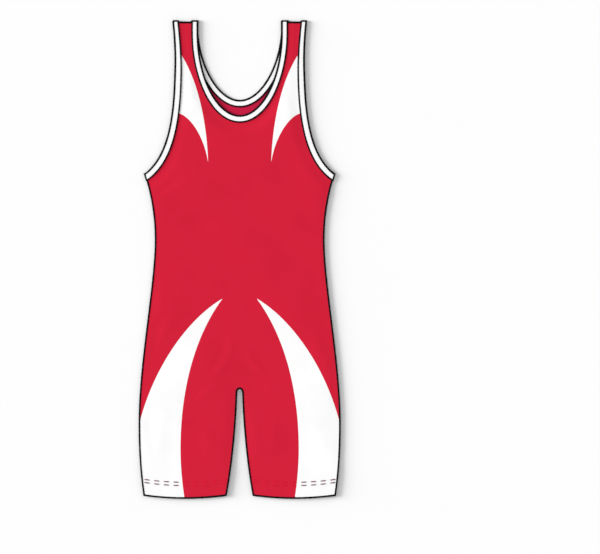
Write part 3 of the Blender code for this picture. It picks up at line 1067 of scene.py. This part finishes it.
class SINGLET_OT_stage(bpy.types.Operator):
    """Lay the floor and set the light and the camera straight above"""

    bl_idname = "singlet.stage"
    bl_label = "Stage"

    def execute(self, context):
        stage = context.scene.singlet_stage
        bpy.ops.object.select_all(action="DESELECT")
        bpy.ops.mesh.primitive_plane_add(size=FLOOR_SIZE, location=(0, 0, FLOOR_HEIGHT))
        floor = context.object
        floor.name = "floor"
        floor.data.materials.append(paper("studio_paper", tuple(stage.floor)))
        self.set_light(context, stage)
        self.set_camera(context, stage)
        return {"FINISHED"}

    def set_light(self, context, stage):
        bpy.ops.object.light_add(type="SUN")
        key = context.object
        key.name = "key_light"
        key.data.energy = stage.key
        key.data.angle = stage.key_softness
        low = math.cos(stage.key_height)
        toward = Vector(
            (low * math.cos(stage.key_side), low * math.sin(stage.key_side), math.sin(stage.key_height))
        )
        key.rotation_euler = toward.to_track_quat("Z", "Y").to_euler()
        world = bpy.data.worlds.new("fill_light")
        world.use_nodes = True
        background = world.node_tree.nodes["Background"]
        background.inputs["Color"].default_value = (1, 1, 1, 1)
        background.inputs["Strength"].default_value = stage.fill
        context.scene.world = world
        context.scene.view_settings.view_transform = "Standard"

    def set_camera(self, context, stage):
        x, y = stage.view_middle
        bpy.ops.object.camera_add(location=(x, y, stage.camera_height), rotation=(0, 0, 0))
        camera = context.object
        camera.name = "camera"
        camera.data.sensor_width = SENSOR_WIDTH
        camera.data.lens = camera.data.sensor_width * stage.camera_height / stage.view_width
        context.scene.camera = camera


class SINGLET_OT_back(bpy.types.Operator):
    """Lay the plain back, right side down, with its hems turned up"""

    bl_idname = "singlet.back"
    bl_label = "Back"

    def execute(self, context):
        sizes = context.scene.singlet_sizes
        red, inside, _ = cloths(context.scene)
        rows = panel_rows("back_neck", sizes)
        y = np.array([row.y for row in rows])
        half = columns(inner_edge("back_neck", y), outer_edge(y), HALF_COLUMNS)
        made, cut = cloth_piece("back_cloth", "back", (half, -half), rows, (red, inside), sizes)
        declare(made, "back_body")
        return {"FINISHED"}


class SINGLET_OT_front(bpy.types.Operator):
    """Lay the red front over the back, with its holes for the inserts"""

    bl_idname = "singlet.front"
    bl_label = "Front"

    def execute(self, context):
        sizes = context.scene.singlet_sizes
        red, inside, _ = cloths(context.scene)
        rows = panel_rows("front_neck", sizes)
        y = np.array([row.y for row in rows])
        middle = columns(inner_edge("front_neck", y), insert_start(y), HALF_COLUMNS)
        side = columns(insert_end(y), outer_edge(y), SIDE_COLUMNS)
        grids = (middle, side, -middle, -side)
        made, cut = cloth_piece("front_cloth", "front", grids, rows, (red, inside), sizes)
        declare(made, "front_body")
        return {"FINISHED"}


class SINGLET_OT_inserts(bpy.types.Operator):
    """Fill the holes in the front with the white chest and thigh inserts"""

    bl_idname = "singlet.inserts"
    bl_label = "Inserts"

    def execute(self, context):
        for name, cut in (("chest_insert", CHEST_CUT), ("thigh_insert", THIGH_CUT)):
            for side, sign in (("left", 1), ("right", -1)):
                self.insert(context, f"{name}_{side}", cut, sign)
        return {"FINISHED"}

    def insert(self, context, name, cut, sign):
        sizes = context.scene.singlet_sizes
        white = cloths(context.scene)[2]
        rows = [row for row in panel_rows("front_neck", sizes) if cut.bottom <= row.y < cut.top]
        y = np.array([row.y for row in rows])
        start = insert_start(y) + self.shift(cut.inner, y, sizes)
        on_edge = (y > INSERT_SIDE) | (y < THIGH_SIDE)
        end = insert_end(y) - np.where(on_edge, 0, self.shift(cut.outer, y, sizes))
        narrowest = 0.2 * MM
        filled = end - start > narrowest
        rows = [row for row, wide in zip(rows, filled) if wide]
        grid = sign * columns(start[filled], end[filled], INSERT_COLUMNS)
        made, sheet = cloth_piece(f"{name}_cloth", "front", (grid,), rows, (white, white), sizes)
        declare(made, name)

    def shift(self, line, y, sizes):
        """The seam gap, measured straight across where the cut line slants, up to a limit."""
        step, most = 0.5 * MM, 4
        slope = (across(line, y + step) - across(line, y - step)) / (2 * step)
        return sizes.seam_gap * np.minimum(np.hypot(slope, 1), most)


class SINGLET_OT_bindings(bpy.types.Operator):
    """Fold the white strips over the edges of the neck and the armholes"""

    bl_idname = "singlet.bindings"
    bl_label = "Bindings"

    def execute(self, context):
        sizes = context.scene.singlet_sizes
        white = cloths(context.scene)[2]
        armhole = armhole_loop(STRIP_SPACING)
        for name, frames in (
            ("neck_binding", neck_loop(STRIP_SPACING)),
            ("armhole_binding_left", armhole),
            ("armhole_binding_right", mirrored(armhole)),
        ):
            made, cut = folded_strip(f"{name}_strip", frames, (white, white), sizes)
            declare(made, name)
        return {"FINISHED"}


class SINGLET_OT_edge_threads(bpy.types.Operator):
    """Wrap the edges of the bindings, the side seams, the inseam and the hems in black thread"""

    bl_idname = "singlet.edge_threads"
    bl_label = "Edge threads"

    def execute(self, context):
        sizes = context.scene.singlet_sizes
        black = edge_thread(context.scene)
        fold = sizes.strip_width - STRIP_INSET
        rise = STRIP_THREAD_RISE
        half_height = BACK_STRIP_MID + rise
        neck, armhole = neck_loop(MM), armhole_loop(MM)
        on_strap = smooth(*NECK_SHIFT_HEIGHTS, neck.at[:, 1])[:, None]
        over_seam = moved(neck, NECK_SEAM_SHIFT * on_strap, rise)
        runs = [
            Run(over_seam, half_height, sizes.seam_thread_width),
            Run(moved(neck, fold, rise), half_height, sizes.thread_width),
        ]
        thread_piece("neck_edge_thread", runs, black, sizes)
        runs = [
            Run(moved(armhole, ARMHOLE_SEAM_SHIFT, rise), half_height, sizes.seam_thread_width),
            Run(moved(armhole, fold, rise), half_height, sizes.thread_width),
        ]
        runs += shoulder_runs(sizes) + [underarm_run(sizes)]
        self.both_sides("armhole_edge_thread", runs, black, sizes)
        seams = [
            (standing_run("side", True, sizes), None),
            (standing_run("inseam", False, sizes), None),
            (hem_run(HEM_TOP - HEM_RADIUS, sizes), UPPER_HEM_HALF_HEIGHT),
            (hem_run(HEM_RADIUS + THREAD_RISE, sizes), LOWER_HEM_HALF_HEIGHT),
        ]
        runs = [Run(frames, half_height, sizes.thread_width) for frames, half_height in seams]
        self.both_sides("seam_thread", runs, black, sizes)
        return {"FINISHED"}

    def both_sides(self, name, runs, black, sizes):
        thread_piece(f"{name}_left", runs, black, sizes)
        mirror = [run._replace(frames=mirrored(run.frames)) for run in runs]
        thread_piece(f"{name}_right", mirror, black, sizes)


class SINGLET_OT_hem_stitches(bpy.types.Operator):
    """Sew two rows of stitches along the hems, dull plum on the inserts and red on the red, painted
    lighter than the cloth to offset their shade
    """

    bl_idname = "singlet.hem_stitches"
    bl_label = "Hem stitches"

    def execute(self, context):
        sizes, colours = context.scene.singlet_sizes, context.scene.singlet_colours
        pitch = sizes.stitch_pitch / MM
        middles = [OUTERMOST_STITCH - pitch * i for i in range(STITCHES)]
        on_insert, on_red = middles[:INSERT_STITCHES], middles[INSERT_STITCHES:]
        light = thread("hem_thread_light", tuple(colours.hem_light), 0.6)
        painted_light_red = thread("hem_thread_red_painted_light", tuple(colours.hem_red_painted_light), 0.6)
        stitch_rows("hem_stitches_insert", on_insert, light, INSERT_STITCH_RADIUS, sizes)
        stitch_rows("hem_stitches_front", on_red, painted_light_red, RED_STITCH_RADIUS, sizes)
        return {"FINISHED"}


OPERATORS = (
    SINGLET_OT_stage,
    SINGLET_OT_back,
    SINGLET_OT_front,
    SINGLET_OT_inserts,
    SINGLET_OT_bindings,
    SINGLET_OT_edge_threads,
    SINGLET_OT_hem_stitches,
)


class SINGLET_PT_pieces(bpy.types.Panel):
    """The singlet's sizes and colours, and the steps that build it"""

    bl_idname = "SINGLET_PT_pieces"
    bl_label = "Wrestling Singlet"
    bl_space_type = "VIEW_3D"
    bl_region_type = "UI"
    bl_category = "Singlet"

    def draw(self, context):
        for group in (
            context.scene.singlet_sizes,
            context.scene.singlet_colours,
            context.scene.singlet_stage,
        ):
            box = self.layout.box()
            for name in group.__annotations__:
                box.prop(group, name)
        for operator in OPERATORS:
            self.layout.operator(operator.bl_idname)


GROUPS = {
    "singlet_sizes": SingletSizes,
    "singlet_colours": SingletColours,
    "singlet_stage": SingletStage,
}


def register():
    for made in (*GROUPS.values(), *OPERATORS, SINGLET_PT_pieces):
        bpy.utils.register_class(made)
    for name, group in GROUPS.items():
        setattr(bpy.types.Scene, name, PointerProperty(type=group))


def unregister():
    for name in GROUPS:
        delattr(bpy.types.Scene, name)
    for made in (SINGLET_PT_pieces, *reversed(OPERATORS), *reversed(GROUPS.values())):
        bpy.utils.unregister_class(made)


def main():
    register()
    bpy.ops.singlet.stage()
    bpy.ops.singlet.back()
    bpy.ops.singlet.front()
    bpy.ops.singlet.inserts()
    bpy.ops.singlet.bindings()
    bpy.ops.singlet.edge_threads()
    bpy.ops.singlet.hem_stitches()


if __name__ == "__main__":
    main()
